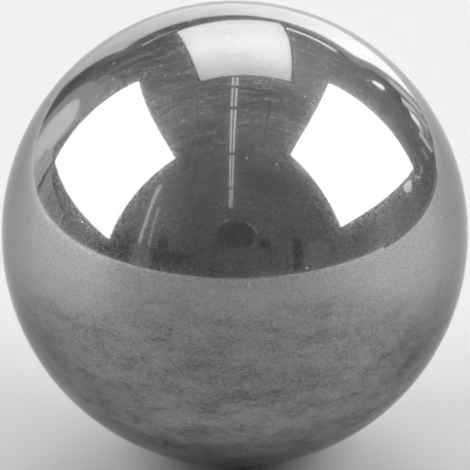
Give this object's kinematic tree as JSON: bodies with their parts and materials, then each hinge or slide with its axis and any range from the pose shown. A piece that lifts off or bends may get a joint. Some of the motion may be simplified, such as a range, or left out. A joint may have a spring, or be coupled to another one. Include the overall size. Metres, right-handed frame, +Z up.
{
  "type": "steel ball",
  "caption": "Solid polished steel ball: a true sphere with a mirror finish, and no flat, hole or seam.",
  "frame": {"origin": "centre of the ball", "axes": "+Z up, as the ball lies in its seat; +X and +Y level, with no mark on the ball to tell them apart"},
  "size_m": [0.0254, 0.0254, 0.0254],
  "materials": {
    "polished_steel": "mirror polished bare steel, with a faint mottled film and fine dust specks"
  },
  "bodies": {
    "root": {"ball": "polished_steel"}
  },
  "joints": []
}
